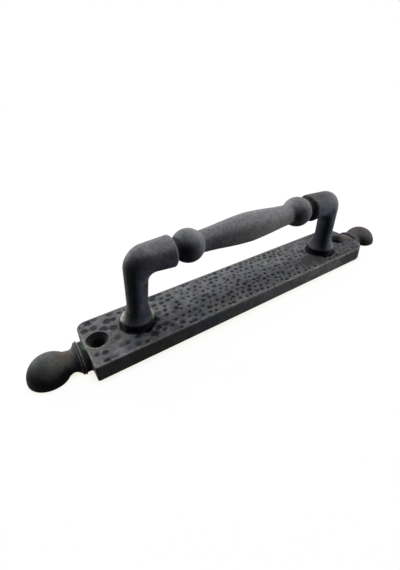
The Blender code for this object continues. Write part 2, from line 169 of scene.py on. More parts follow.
def fill(mesh, loops, holes, x=(), y=()):
    """Triangles between closed loops of points; holes gives (x, y, radius) to leave open."""
    corners = [vert for loop in loops for vert in loop]
    level = loops[0][0].co.z
    edges, first = [], 0
    for loop in loops:
        edges += [(first + i, first + (i + 1) % len(loop)) for i in range(len(loop))]
        first += len(loop)
    corners += [mesh.verts.new((px, py, level)) for px, py in zip(x, y)]
    flat = [vert.co.xy for vert in corners]
    _, _, faces, origins, _, _ = delaunay_2d_cdt(flat, edges, [], 0, 1e-8)
    for face in faces:
        picked = [corners[origins[i][0]] for i in face]
        mid_x = sum(v.co.x for v in picked) / 3
        mid_y = sum(v.co.y for v in picked) / 3
        if all(math.hypot(mid_x - cx, mid_y - cy) > radius for cx, cy, radius in holes):
            mesh.faces.new(picked)

# %% [markdown]
# ## The plate as one closed piece
# The edge of the real face is rolled over by about half a millimetre. The two holes for the wood
# screws are countersunk, and under each foot a stepped hole takes the screw that holds the handle
# from behind. All of them are rings, so the blank closes without any cutting.

# %% Sections of the holes, as radius and height
SCREW_BORE, SCREW_SEAT, SEAT_DEPTH = 0.0028, 0.0049, 0.0045
CONE = SINK_RADIUS - DOOR_HOLE_RADIUS
SUNK_HOLE = ((SINK_RADIUS + 0.0002, PLATE_TOP), (SINK_RADIUS + 0.00005, PLATE_TOP - 0.00006),
             (SINK_RADIUS - 0.0002, PLATE_TOP - 0.00028),
             (SINK_RADIUS - CONE / 2, PLATE_TOP - CONE / 2),
             (DOOR_HOLE_RADIUS, PLATE_TOP - CONE), (DOOR_HOLE_RADIUS, PLATE_TOP - 0.007),
             (DOOR_HOLE_RADIUS, 0.0))
STEPPED_HOLE = ((SCREW_BORE, PLATE_TOP), (SCREW_BORE, SEAT_DEPTH), (SCREW_SEAT, SEAT_DEPTH),
                (SCREW_SEAT, 0.0))
print("the sink's cone is", round(1000 * CONE, 1), "mm deep")

# %% Skin the blank
BACK_BREAK, WALL_START = 0.0003, 0.0018


def build_blank():
    mesh = bmesh.new()
    levels = [(BACK_BREAK, 0.0), (0.0, BACK_BREAK)]
    levels += [(0.0, z) for z in np.linspace(WALL_START, PLATE_TOP - EDGE_ROLL, 7)]
    levels += [(EDGE_ROLL * (1 - math.cos(t)), PLATE_TOP - EDGE_ROLL * (1 - math.sin(t)))
               for t in np.linspace(0, math.pi / 2, 6)[1:]]
    walls = [[mesh.verts.new((x, y, z)) for x, y in plan(inset)] for inset, z in levels]
    skin(mesh, walls)
    top_loops, back_loops = [walls[-1]], [walls[0]]
    holes = [(c, SUNK_HOLE, 72) for c in HOLES] + [(c, STEPPED_HOLE, 48) for c in FEET]
    for (x, y), section, sides in holes:
        rings = [round_ring(mesh, x, y, z, radius, sides) for radius, z in section]
        skin(mesh, rings)
        top_loops.append(rings[0])
        back_loops.append(rings[-1])
    top_holes = [(*c, section[0][0]) for c, section, _ in holes]
    back_holes = [(*c, section[-1][0]) for c, section, _ in holes]
    under_feet = [(*c, FOOT_RADIUS - 0.0030) for c in FEET]
    fill(mesh, top_loops, top_holes, *face_points(top_holes + under_feet))
    fill(mesh, back_loops, back_holes)
    return stand("hammered_plate", mesh)


plate = build_blank()

# %% [markdown]
# ## Finials
# Each end carries half of a turned shape: a stub level with the face, a collar with two ridges and
# a groove between them, a neck and a ball, all cut flat at the back so that the pull lies against
# the door. It could be spun and cut with a Boolean. Drawing only the upper half ring by ring is
# simpler and leaves no cut to clean. Where the stub meets the plate the real casting has a small
# hollow fillet, so the radius grows there. Only the neck isn't flat at the back: it arches about
# a millimetre off the door.

# %% Line of the finial, as reach beyond the plate and radius
BALL_RADIUS, BALL_REACH, BALL_CUT = 0.0131, 0.0220, 0.72
NECK_RADIUS, NECK_REACH = 0.0083, 0.0098
STUB_RADIUS, STUB_ROOT, FILLET = 0.0114, -0.0008, 0.0013
COLLAR_RADIUS, COLLAR_START, COLLAR_END, LIP_DROP = 0.0126, 0.0033, 0.0056, 0.0011


def finial_line():
    line = [(STUB_ROOT, STUB_RADIUS + FILLET)]
    line += [(FILLET * (1 - math.cos(t)), STUB_RADIUS + FILLET * (1 - math.sin(t)))
             for t in np.linspace(0.05, math.pi / 2, 7)]
    line += [(0.0026, STUB_RADIUS), (COLLAR_START, STUB_RADIUS)]
    collar = [(COLLAR_START, -0.0006), (0.0034, -0.0002), (0.0037, 0.0), (0.0041, 0.0),
              (0.0044, -0.0003), (0.0045, -0.0009), (0.0048, -0.0009), (0.0049, -0.0005),
              (0.0052, -0.0003), (0.0055, -0.0005), (COLLAR_END, -LIP_DROP)]
    line += [(reach, COLLAR_RADIUS + step) for reach, step in collar]
    lip = line[-1][1]
    for part in np.linspace(0, 1, 13)[1:]:
        line.append((COLLAR_END + (NECK_REACH - COLLAR_END) * part,
                     NECK_RADIUS + (lip - NECK_RADIUS) * (1 - part) ** 2.4))
    start = math.acos(-BALL_CUT)
    join = (BALL_REACH - BALL_CUT * BALL_RADIUS, BALL_RADIUS * math.sin(start))
    for part in np.linspace(0, 1, 8)[1:-1]:
        line.append((NECK_REACH + (join[0] - NECK_REACH) * part,
                     NECK_RADIUS + (join[1] - NECK_RADIUS) * part ** 1.35))
    line += [(BALL_REACH + BALL_RADIUS * math.cos(t), BALL_RADIUS * math.sin(t))
             for t in np.linspace(start, 0.03, 30)]
    return line


print("finial reaches", round(1000 * (BALL_REACH + BALL_RADIUS), 2), "mm beyond the plate")

# %% Skin a half-round finial
STUB_RINGS, FLANK_STEPS = 10, 16
RING_STEPS = 3 * FLANK_STEPS
NECK_ARCH, ARCH_REACH, ARCH_SPAN = 0.0011, NECK_REACH + 0.0006, 0.0036


def stub_point(radius, i):
    """A point of a half circle that is cut level with the plate's face."""
    cut = math.asin(PLATE_TOP / radius)
    if FLANK_STEPS < i < 2 * FLANK_STEPS:
        return radius * math.cos(cut) * (3 - 2 * i / FLANK_STEPS), PLATE_TOP
    turn = cut * min(i, RING_STEPS - i) / FLANK_STEPS
    return math.copysign(radius * math.cos(turn), RING_STEPS / 2 - i), radius * math.sin(turn)


def build_finial(side):
    mesh = bmesh.new()
    turns = [math.pi * i / RING_STEPS for i in range(RING_STEPS + 1)]
    rings = []
    for number, (reach, radius) in enumerate(finial_line()):
        if number < STUB_RINGS:
            section = [stub_point(radius, i) for i in range(RING_STEPS + 1)]
        else:
            arch = NECK_ARCH * math.exp(-((reach - ARCH_REACH) / ARCH_SPAN) ** 2)
            lift = arch if reach > COLLAR_END else 0.0
            section = [(radius * math.cos(t), radius * math.sin(t) + lift) for t in turns]
        rings.append([mesh.verts.new((side * (half_length + reach), y, z)) for y, z in section])
    skin(mesh, rings)
    mesh.faces.new(rings[0])
    mesh.faces.new(rings[-1])
    return stand("finial", mesh)

# %% Join the finials to the plate
def settle(obj):
    """Keeps what the modifiers made as a plain mesh, and takes the modifiers off."""
    made = bpy.data.meshes.new_from_object(
        obj.evaluated_get(bpy.context.evaluated_depsgraph_get()))
    obj.modifiers.clear()
    obj.data = made


def combine(base, other, operation):
    step = base.modifiers.new("combine", "BOOLEAN")
    step.operation, step.solver, step.object = operation, "EXACT", other
    settle(base)
    bpy.data.objects.remove(other, do_unlink=True)


for side in (-1, 1):
    combine(plate, build_finial(side), "UNION")
print("plate with finials", len(plate.data.polygons), "faces")

# %% [markdown]
# ## Where the face was struck, what years have left, and where light and shade are painted
# The blows stop short of the rolled edge, the feet and the screw holes, and by the right foot one
# patch was never struck. Hands and years have left their traces too: metal shows through along
# the edges and the rims, green grows in the corner by the left collar, and brown stains sit on
# the left end, the left neck, beyond the right hole and on the right finial. The finials, the
# patch that was never struck and the right end are darker, and the face is lighter in the middle
# and at the far left. Light and shade are painted in as well: painted shade in the holes, round
# the feet, under the balls and on the near side, and a painted glint or highlight on the worn
# edges, the left end and the collar ridges.
# Strokes of a brush would have to be painted again after any change of size. So each trace is
# worked out from a point's place, with rise and fall between two distances in metres, and kept as
# an attribute, which the geometry and the materials can both read.

# %% Helpers that turn places into masks
def rise(value, start, end):
    t = np.clip((value - start) / (end - start), 0, 1)
    return t * t * (3 - 2 * t)


def fall(value, start, end):
    return 1 - rise(value, start, end)


def spots(points, stains):
    """Sums soft round stains, each given as its centre, size and share."""
    return sum(share * np.exp(-np.sum(((points - np.array(centre)) / np.array(size)) ** 2, axis=1))
               for centre, size, share in stains)


def write_mask(obj, name, values, most=1.0):
    """Stores one number for each point, between 0 and most."""
    values = np.clip(values, 0, most).astype(np.float32)
    obj.data.attributes.new(name, "FLOAT", "POINT").data.foreach_set("value", values)
    print(name, "covers", int((values > 0.5).sum()), "points")


def places(obj, what="co"):
    flat = np.empty(len(obj.data.vertices) * 3, dtype=np.float32)
    obj.data.vertices.foreach_get(what, flat)
    return flat.reshape(-1, 3).astype(float)

# %% Where the blows fell
points, looks_up = places(plate), places(plate, "normal")[:, 2]
x, y, z = points.T
gap, beyond = edge_gap(x, y), np.abs(x) - half_length
from_holes = [np.hypot(x - cx, y - cy) for cx, cy in HOLES]
from_feet = [np.hypot(x - cx, y - cy) for cx, cy in FEET]
struck = rise(gap, EDGE_ROLL, EDGE_ROLL + 0.0011) * (z > PLATE_TOP - 1e-5) * (gap > 0)
for away in from_holes:
    struck *= rise(away, SINK_RADIUS + 0.0004, SINK_RADIUS + 0.0014)
for away in from_feet:
    struck *= rise(away, FOOT_RADIUS - 0.0012, FOOT_RADIUS - 0.0004)
never_struck = spots(points, [((0.0640, -0.0110, PLATE_TOP), (0.0130, 0.0085, 1.0), 1.0)])
write_mask(plate, "hammered", struck * fall(never_struck, 0.35, 0.6))

# %% Worn edges of the plate, partly a painted glint
RIDGES, RIDGE_GROOVE, RUBBED_SIDE = (0.0039, 0.0052), 0.00465, -2.2
# Worn metal along the rolled edge of the near side, brighter toward the right, partly a painted
# glint.
roll = rise(z, PLATE_TOP - 0.0010, PLATE_TOP - 0.0002) * fall(
    np.abs(gap - EDGE_ROLL * 0.35), 0.0002, 0.0008)
near = (y < 0) * (0.40 + 0.60 * rise(x, -0.030, 0.050)) + 0.5 * (x < -half_length + 0.001)
near_corner = fall(np.hypot(x + half_length, y + half_width), 0.0003, 0.0012) * (gap > -0.001)
# Worn metal on the near side of the left hole's lip, partly a painted glint.
turn = np.arctan2(y - HOLES[0][1], x - HOLES[0][0])
rim = fall(np.abs(from_holes[0] - SINK_RADIUS), 0.0003, 0.0010) * (
    z > PLATE_TOP - 0.0008) * rise(np.cos(turn - RUBBED_SIDE), 0.2, 0.9)
ridge = np.minimum(*[np.abs(beyond - reach) for reach in RIDGES])
collar = fall(ridge, 0.0001, 0.0004) * rise(
    np.hypot(y, z), COLLAR_RADIUS - 0.0010, COLLAR_RADIUS - 0.0003)
write_mask(plate, "wear_and_glint", 0.8 * roll * near + 0.4 * near_corner + 0.8 * rim + 0.4 * collar)

# %% Painted shade in the holes, round the feet and on the finials; green and brown stains on the plate
# Painted shade: a painted contact shadow round each foot, and painted shade in each countersink
# and bore, darker on the far wall.
hollow = sum(fall(away, FOOT_RADIUS + 0.0009, FOOT_RADIUS + 0.0020) for away in from_feet)
for away, (_, cy), dark in zip(from_holes, HOLES, (0.92, 0.50)):
    sink = (away < SINK_RADIUS - 0.0001) * (dark + 0.12 * (y - cy) / SINK_RADIUS)
    hollow += np.maximum(sink, away < DOOR_HOLE_RADIUS + 0.0003)
# Painted shade on the short piece between the plate and the collar, and in the collar's groove.
stub_shade = rise(beyond, 0.0002, 0.0010) * fall(beyond, 0.0028, 0.0034)
stub_shade = np.maximum(stub_shade, fall(np.abs(beyond - RIDGE_GROOVE), 0.0001, 0.0003))
# Painted shade on the downward-facing side of each ball.
ball_low_shade = rise(beyond, 0.008, 0.014) * fall(looks_up, 0.30, 0.95)
write_mask(plate, "painted_shade", hollow + 0.75 * stub_shade + 0.9 * ball_low_shade)
GREEN_STAINS = [((-0.1247, -0.0015, 0.0112), (0.0014, 0.0028, 0.0020), 0.90),
                ((-0.1262, -0.0030, 0.0080), (0.0030, 0.0100, 0.0070), 0.22)]
BROWN_STAINS = [((-0.1365, 0.0010, 0.0085), (0.0040, 0.0070, 0.0040), 1.00),
                ((0.1200, -0.0030, PLATE_TOP), (0.0028, 0.0065, 0.0040), 0.70),
                ((0.1480, 0.0000, 0.0100), (0.0120, 0.0130, 0.0120), 0.60),
                ((-half_length, 0.0140, 0.0070), (0.0025, 0.0090, 0.0070), 0.60)]
write_mask(plate, "green", spots(points, GREEN_STAINS))
write_mask(plate, "brown", spots(points, BROWN_STAINS))

# %% Where the plate is darker or lighter, partly painted shade and painted light
on_plate = beyond < 0
# The finials are darker, and painted shade darkens what faces down on them.
dull_and_shaded = rise(beyond, 0.0002, 0.0020) * (0.50 + 0.75 * fall(looks_up, 0.1, 0.75))
dull_and_shaded += 0.25 * rise(beyond, 0.012, 0.018)
# The patch that was never struck and the right end of the plate are darker.
dull_and_shaded += 0.95 * rise(never_struck, 0.25, 0.7) + 0.80 * rise(x, 0.080, 0.100) * on_plate
# Painted shade on the near side face, stronger toward the left.
near_side = (y < -half_width + 0.0008) * (z < PLATE_TOP - 0.0006)
dull_and_shaded += (0.60 + 0.90 * fall(x, -0.110, 0.060)) * near_side
write_mask(plate, "dull_and_shade", dull_and_shaded, 1.55)
# The face is lighter in the middle and at the far left.
middle = 0.45 * rise(x, -0.070, -0.020) * fall(x, 0.055, 0.085)
far_left = 0.75 * fall(x, -0.100, -0.030) * rise(y, -0.020, 0.010)
# Painted highlight on the rolled left end, and on the upward faces of the collar ridges.
left_end_highlight = fall(np.abs(gap), 0.0010, 0.0026) * fall(x, -0.123, -0.118) * on_plate
pale_and_lit = (middle + far_left) * (z > PLATE_TOP - 0.0030) * on_plate
pale_and_lit += left_end_highlight * rise(y, -0.006, 0.008) + 1.3 * collar * rise(looks_up, 0.0, 0.5)
write_mask(plate, "pale_and_lit", pale_and_lit, 1.3)

# %% [markdown]
# ## Hammer marks
# A smith strikes the face in rough rows, so the marks stagger, wander and differ in size. Toward
# the left end the rows spread and the marks grow into wide ovals, and toward the right they are
# fainter. This follows a rule, so a Geometry Nodes tree makes it: a grid of points is staggered
# and shaken, each point gets its own radius and depth, and every point of the face looks up the
# nearest mark and sinks by the depth of that bowl. A shade is stored as well, because old polish
# and dirt differ between the pits and the land.

# %% Short ways to add nodes
def new_tree(name, inputs):
    tree = bpy.data.node_groups.new(name, "GeometryNodeTree")
    tree.interface.new_socket("Geometry", in_out="INPUT", socket_type="NodeSocketGeometry")
    for label, kind in inputs:
        tree.interface.new_socket(label, in_out="INPUT", socket_type="NodeSocket" + kind)
    tree.interface.new_socket("Geometry", in_out="OUTPUT", socket_type="NodeSocketGeometry")
    return tree, tree.nodes.new("NodeGroupInput").outputs


def put(tree, socket, value):
    if isinstance(value, bpy.types.NodeSocket):
        tree.links.new(value, socket)
    else:
        socket.default_value = value


def add(tree, kind, settings=None, **sockets):
    """A node of a kind; i0, i1 and so on are inputs by number, and _ stands for a space."""
    made = tree.nodes.new(kind)
    for key, value in (settings or {}).items():
        setattr(made, key, value)
    for key, value in sockets.items():
        put(tree, made.inputs[int(key[1:]) if key[1:].isdigit() else key.replace("_", " ")], value)
    return made


def end_tree(tree, geometry, metal):
    """Every tree ends in real geometry that carries its metal."""
    real = add(tree, "GeometryNodeRealizeInstances", Geometry=geometry).outputs[0]
    done = add(tree, "GeometryNodeSetMaterial", Geometry=real, Material=metal).outputs[0]
    tree.links.new(done, tree.nodes.new("NodeGroupOutput").inputs[0])
    print(tree.name, len(tree.nodes), "nodes")

# %% Short ways to calculate with sockets or numbers
def maths(tree, operation, a, b=0.0, c=0.0):
    return add(tree, "ShaderNodeMath", {"operation": operation}, i0=a, i1=b, i2=c).outputs[0]


def plus(tree, a, b):
    return maths(tree, "ADD", a, b)


def minus(tree, a, b):
    return maths(tree, "SUBTRACT", a, b)


def times(tree, a, b):
    return maths(tree, "MULTIPLY", a, b)


def vector(tree, operation, a, b=(0.0, 0.0, 0.0)):
    """One Vector Math node; LENGTH gives a number and the others a vector."""
    made = add(tree, "ShaderNodeVectorMath", {"operation": operation}, i0=a, i1=b)
    return made.outputs[1 if operation == "LENGTH" else 0]


def combined(tree, **parts):
    return add(tree, "ShaderNodeCombineXYZ", **parts).outputs[0]


def between(tree, value, low, high, to_low=0.0, to_high=1.0):
    settings = {"interpolation_type": "SMOOTHSTEP"}
    return add(tree, "ShaderNodeMapRange", settings, Value=value, i1=low, i2=high,
               i3=to_low, i4=to_high).outputs[0]

# %% Lay out the marks
hammer, given = new_tree("hammer marks", [
    ("Spacing", "Float"), ("Mark radius", "Float"), ("Mark depth", "Float"),
    ("Left growth", "Float"), ("Left stretch", "Float"), ("Seed", "Int"),
    ("Metal", "Material")])
ROW_SHARE, SHAKE_ALONG, SHAKE_ACROSS = 0.93, 0.30, 0.24
spacing, hammer_seed = given["Spacing"], given["Seed"]
row_step = times(hammer, spacing, ROW_SHARE)
columns = maths(hammer, "CEIL", maths(hammer, "DIVIDE", PLATE_LENGTH, spacing))
rows = maths(hammer, "CEIL", maths(hammer, "DIVIDE", PLATE_WIDTH, row_step))
row_count = plus(hammer, rows, 1.0)
grid = add(hammer, "GeometryNodeMeshGrid", Size_X=times(hammer, columns, spacing),
           Size_Y=times(hammer, rows, row_step), Vertices_X=plus(hammer, columns, 1.0),
           Vertices_Y=row_count).outputs["Mesh"]
number = add(hammer, "GeometryNodeInputIndex").outputs[0]
odd = maths(hammer, "MODULO", maths(hammer, "MODULO", number, row_count), 2.0)


def chance(low, high, draw):
    """A random number for each mark; draw keeps one use apart from the next."""
    return add(hammer, "FunctionNodeRandomValue", {"data_type": "FLOAT"}, i2=low, i3=high,
               ID=number, Seed=plus(hammer, hammer_seed, float(draw))).outputs[1]


stagger = times(hammer, odd, 0.5)
shake = combined(hammer, X=plus(hammer, stagger, chance(-SHAKE_ALONG, SHAKE_ALONG, 1)),
                 Y=chance(-SHAKE_ACROSS, SHAKE_ACROSS, 2))
shift = add(hammer, "ShaderNodeVectorMath", {"operation": "SCALE"}, i0=shake, Scale=spacing)
marks = add(hammer, "GeometryNodeSetPosition", Geometry=grid, Offset=shift.outputs[0]).outputs[0]
print("mark layout nodes", len(hammer.nodes))

# %% Spread the rows toward the left end
LEFT_ZONE, SPREAD_FROM, SPREAD_ACROSS = (-0.30 * half_length, -0.85 * half_length), -0.16, 0.35
here = add(hammer, "GeometryNodeInputPosition").outputs[0]
along = add(hammer, "ShaderNodeSeparateXYZ", Vector=here).outputs
leftness = between(hammer, along["X"], *LEFT_ZONE)
past = maths(hammer, "MAXIMUM", minus(hammer, SPREAD_FROM * half_length, along["X"]), 0.0)
pull = times(hammer, times(hammer, past, past), given["Left stretch"])
spread = combined(hammer, X=times(hammer, pull, -1.0),
                  Y=times(hammer, times(hammer, leftness, SPREAD_ACROSS), along["Y"]))
marks = add(hammer, "GeometryNodeSetPosition", Geometry=marks, Offset=spread).outputs[0]

# %% Give each mark its radius, depth and shade
def keep_value(geometry, label, value):
    settings = {"data_type": "FLOAT", "domain": "POINT"}
    return add(hammer, "GeometryNodeStoreNamedAttribute", settings, Geometry=geometry,
               Name=label, Value=value).outputs[0]


RIGHT_ZONE, LEFT_FADE, RIGHT_FADE = (0.30 * half_length, 0.62 * half_length), 0.10, 0.42
growth = maths(hammer, "MULTIPLY_ADD", leftness, given["Left growth"], 1.0)
radius = times(hammer, times(hammer, growth, given["Mark radius"]), chance(0.66, 1.20, 3))
depth = times(hammer, given["Mark depth"], chance(0.45, 1.2, 4))
shade = minus(hammer, chance(0.38, 1.0, 5), times(hammer, leftness, LEFT_FADE))
rightness = between(hammer, along["X"], *RIGHT_ZONE)
shade = times(hammer, shade, minus(hammer, 1.0, times(hammer, rightness, RIGHT_FADE)))
for label, value in (("mark radius", radius), ("mark depth", depth), ("mark shade", shade)):
    marks = keep_value(marks, label, value)

# %% Find the nearest bowl
OVAL, BOWL_POWER = (0.92, 1.05, 0.0), 2.2
flat_here = vector(hammer, "MULTIPLY", here, (1.0, 1.0, 0.0))
nearest = add(hammer, "GeometryNodeSampleNearest", {"domain": "POINT"}, Geometry=marks,
              Sample_Position=flat_here).outputs[0]


def of_mark(kind, value):
    return add(hammer, "GeometryNodeSampleIndex", {"data_type": kind, "domain": "POINT"},
               Geometry=marks, Value=value, Index=nearest).outputs[0]


def stored(label):
    return add(hammer, "GeometryNodeInputNamedAttribute", {"data_type": "FLOAT"},
               Name=label).outputs[0]


def wander(scale, detail):
    return add(hammer, "ShaderNodeTexNoise", Vector=flat_here, Scale=scale,
               Detail=detail).outputs[0]


away = vector(hammer, "SUBTRACT", flat_here, of_mark("FLOAT_VECTOR", here))
distance = vector(hammer, "LENGTH", vector(hammer, "MULTIPLY", away, OVAL))
part = maths(hammer, "DIVIDE", distance, of_mark("FLOAT", stored("mark radius")))
ragged = times(hammer, minus(hammer, wander(420.0, 2.0), 0.5), 0.5)
part = maths(hammer, "MAXIMUM", plus(hammer, part, ragged), 0.0)
bowl = minus(hammer, 1.0, maths(hammer, "POWER", part, BOWL_POWER))
struck = times(hammer, maths(hammer, "MAXIMUM", bowl, 0.0), stored("hammered"))

# %% Sink each point of the face into its bowl
UNEVEN = 0.00025
deep = times(hammer, struck, of_mark("FLOAT", stored("mark depth")))
uneven = times(hammer, times(hammer, wander(110.0, 1.0), UNEVEN), stored("hammered"))
sink = combined(hammer, Z=times(hammer, plus(hammer, deep, uneven), -1.0))
worked = keep_value(given["Geometry"], "dent",
                    times(hammer, struck, of_mark("FLOAT", stored("mark shade"))))
worked = add(hammer, "GeometryNodeSetPosition", Geometry=worked, Offset=sink).outputs[0]
end_tree(hammer, worked, given["Metal"])

# %% [markdown]
# ## Running a tree
# A Geometry Nodes modifier is a recipe. For a finished piece the recipe is run once: its inputs
# are set, the evaluated object is turned into a plain mesh, and the modifier is taken off.

# %% Run a tree and keep its mesh
def run_tree(obj, tree, values):
    recipe = obj.modifiers.new(tree.name, "NODES")
    recipe.node_group = tree
    for item in tree.interface.items_tree:
        if item.in_out == "INPUT" and item.name in values:
            recipe[item.identifier] = values[item.name]
    settle(obj)
    print(obj.name, "after", tree.name, len(obj.data.polygons), "faces")


def smooth(obj, degrees):
    """Closes seams, makes triangles and shades smooth up to an angle between faces."""
    mesh = bmesh.new()
    mesh.from_mesh(obj.data)
    bmesh.ops.remove_doubles(mesh, verts=mesh.verts, dist=2e-6)
    bmesh.ops.triangulate(mesh, faces=mesh.faces)
    bmesh.ops.recalc_face_normals(mesh, faces=mesh.faces)
    mesh.to_mesh(obj.data)
    mesh.free()
    obj.data.shade_smooth()
    obj.data.set_sharp_from_angle(angle=math.radians(degrees))


plate_metal = bpy.data.materials.new("patina_plate")
run_tree(plate, hammer, {"Spacing": 0.0050, "Mark radius": 0.0019, "Mark depth": 0.00066,
                         "Left growth": 0.66, "Left stretch": 2.6, "Seed": 11,
                         "Metal": plate_metal})
smooth(plate, 42)
print("plate triangles", len(plate.data.polygons))

# %% [markdown]
# ## Guide lines of the handle
# From foot to grip the handle is one casting. Its outer line turns on a large radius at the elbow
# and its inner line on a small one, which a tube swept along one curve can't do. So two guide
# lines are written, inner and outer, and every section spans from one to the other.

# %% Sections of a foot
LEFT_REACH, RIGHT_REACH, POST_REACH = 0.0878, 0.0824, 0.0847
FOOT_BASE, FOOT_RIM, FOOT_COVE, FOOT_HEIGHT = PLATE_TOP + 0.0003, 0.0032, 0.0042, 0.0150
POST_LOW, POST_TOP, ARM_ROOT, ARM_TIP = 0.0069, 0.0072, 0.0097, 0.0106
GRIP_Z, ELBOW_OUT, ELBOW_IN = 0.0549, 0.0145, 0.0055


def foot_sections(foot_reach):
    """Each section is its inner point, its outer point and its half width."""
    cove = [(0.0, -0.0009), (0.0006, -0.0011), (0.0014, -0.0013), (0.0022, -0.0011),
            (0.0027, -0.0006), (0.0030, -0.0002), (FOOT_RIM, 0.0), (0.0035, 0.00005),
            (0.0038, -0.00005), (FOOT_COVE, -0.0003)]
    rows = [(FOOT_BASE + up, FOOT_RADIUS + out) for up, out in cove]
    flare = rows[-1][1]
    for up in np.linspace(0, 1, 22)[1:]:
        rows.append((FOOT_BASE + FOOT_COVE + (FOOT_HEIGHT - FOOT_COVE) * up,
                     POST_LOW + (flare - POST_LOW) * (1 - up) ** 1.9))
    sections = []
    rim_z = FOOT_BASE + FOOT_RIM
    for z, r in rows:
        up = max(0.0, (z - rim_z) / (GRIP_Z - ARM_ROOT - ELBOW_IN - rim_z))
        middle = foot_reach + (POST_REACH - foot_reach) * up
        sections.append(((middle - r, z), (middle + r, z), r))
    return sections


print("sections in a foot", len(foot_sections(LEFT_REACH)))

# %% Sections of half the grip
ARM_END, TIP_ROUND, GROOVE = 0.0591, 0.0018, 0.0077
BALL_AT, GRIP_BALL, GRIP_NECK, GRIP_BELLY = 0.0477, 0.0113, 0.0075, 0.0105


def grip_sections():
    rows = [(ARM_END + TIP_ROUND * (1 - math.sin(t)), ARM_TIP - TIP_ROUND * (1 - math.cos(t)))
            for t in np.linspace(0, math.pi / 2, 9)]
    rows += [(ARM_END - 0.0001, GROOVE + 0.0006), (ARM_END - 0.0004, GROOVE)]
    start, stop = math.asin(GROOVE / GRIP_BALL), math.pi - math.asin(GRIP_NECK / GRIP_BALL)
    rows += [(BALL_AT + GRIP_BALL * math.cos(t), GRIP_BALL * math.sin(t))
             for t in np.linspace(start, stop, 34)]
    neck = rows[-1][0]
    for part in np.linspace(0, 1, 50)[1:]:
        swell = 0.35 * part + 0.65 * (0.5 - 0.5 * math.cos(math.pi * part ** 0.9))
        rows.append((neck * (1 - part), GRIP_NECK + (GRIP_BELLY - GRIP_NECK) * swell))
    return [((reach, GRIP_Z - r), (reach, GRIP_Z + r), r) for reach, r in rows]


print("sections in half the grip", len(grip_sections()))

# %% Sections from foot to the middle of the grip
def mix(a, b, part):
    return tuple(u + (v - u) * part for u, v in zip(a, b))


def link(a, b, parts):
    """Sections between two others."""
    return [(mix(a[0], b[0], part), mix(a[1], b[1], part), a[2] + (b[2] - a[2]) * part)
            for part in parts]


def half_handle(foot_reach):
    sections, grip = foot_sections(foot_reach), grip_sections()
    inner_x, outer_x = POST_REACH - POST_TOP, POST_REACH + POST_TOP
    inner = (inner_x - ELBOW_IN, GRIP_Z - ARM_ROOT - ELBOW_IN)
    outer = (outer_x - ELBOW_OUT, GRIP_Z + ARM_ROOT - ELBOW_OUT)
    post_end = ((inner_x, inner[1]), (outer_x, outer[1]), POST_TOP)
    sections += link(sections[-1], post_end, np.linspace(0, 1, 13)[1:-1])
    for part in np.linspace(0, 1, 31):
        turn = math.pi / 2 * part
        sections.append((
            (inner[0] + ELBOW_IN * math.cos(turn), inner[1] + ELBOW_IN * math.sin(turn)),
            (outer[0] + ELBOW_OUT * math.cos(turn), outer[1] + ELBOW_OUT * math.sin(turn)),
            POST_TOP + (ARM_ROOT - POST_TOP) * part))
    return sections + link(sections[-1], grip[0], (0.2, 0.4, 0.6, 0.8)) + grip


print("sections in half the handle", len(half_handle(LEFT_REACH)))

# %% Skin the handle
HANDLE_SIDES, FOOT_BORE_DEPTH, BORE_TIP = 60, 0.0140, 0.0004
handle_turns = [2 * math.pi * i / HANDLE_SIDES for i in range(HANDLE_SIDES)]


def section_ring(mesh, section, side):
    inner, outer, width = section
    (cx, cz), (ux, uz) = mix(inner, outer, 0.5), mix(inner, outer, 1.0)
    return [mesh.verts.new((side * (cx + (ux - cx) * math.cos(t)), width * math.sin(t),
                            cz + (uz - cz) * math.cos(t))) for t in handle_turns]


def close_foot(mesh, ring, x, side):
    rings = [ring]
    for z, radius in ((FOOT_BASE, SCREW_BORE), (FOOT_BASE + FOOT_BORE_DEPTH, SCREW_BORE),
                      (FOOT_BASE + FOOT_BORE_DEPTH + 0.0012, BORE_TIP)):
        rings.append([mesh.verts.new((x + side * radius * math.cos(t), radius * math.sin(t), z))
                      for t in handle_turns])
    skin(mesh, rings)
    mesh.faces.new(rings[-1])


def build_handle():
    mesh = bmesh.new()
    rings = [section_ring(mesh, s, -1) for s in half_handle(LEFT_REACH)]
    rings += [section_ring(mesh, s, 1) for s in reversed(half_handle(RIGHT_REACH)[:-1])]
    skin(mesh, rings)
    close_foot(mesh, rings[0], -LEFT_REACH, -1)
    close_foot(mesh, rings[-1], RIGHT_REACH, 1)
    return stand("pull_casting", mesh)


handle = build_handle()

# %% [markdown]
# ## A casting is never quite true
# Sand casting and filing leave slow hollows in a surface that a lathe would make perfect. Each
# point of the handle moves inward by up to an eighth of a millimetre, following two smooth
# noises, and never outward, so the handle keeps its size. The underside of the feet stays flat.

# %% Soften the handle
SLOW_HOLLOW, QUICK_HOLLOW = 0.00009, 0.00004
data = handle.data
normals = [vert.normal.copy() for vert in data.vertices]
for vert, normal in zip(data.vertices, normals):
    slow = 0.5 + 0.5 * noise.noise(vert.co * 95.0)
    quick = 0.5 + 0.5 * noise.noise(vert.co * 330.0)
    if vert.co.z > FOOT_BASE + 0.0003:
        vert.co -= normal * (SLOW_HOLLOW * slow + QUICK_HOLLOW * quick)
print("softened", len(normals), "points")

# %% [markdown]
# ## Wear, painted light and painted shade on the handle
# The lips of the feet are rubbed to the metal, and their bright cream colour is partly a painted
# glint. Painted light makes the grip, the left bend and the outer and upper flanks lighter, and a
# painted sheen lightens what faces up. Painted shade darkens the band above the feet and the
# groove at each end of the grip, and the inner sides of the posts, the place above the right arm
# and the front of each ball. Each place is a mask again, written while the casting is still
# square to its own middle.

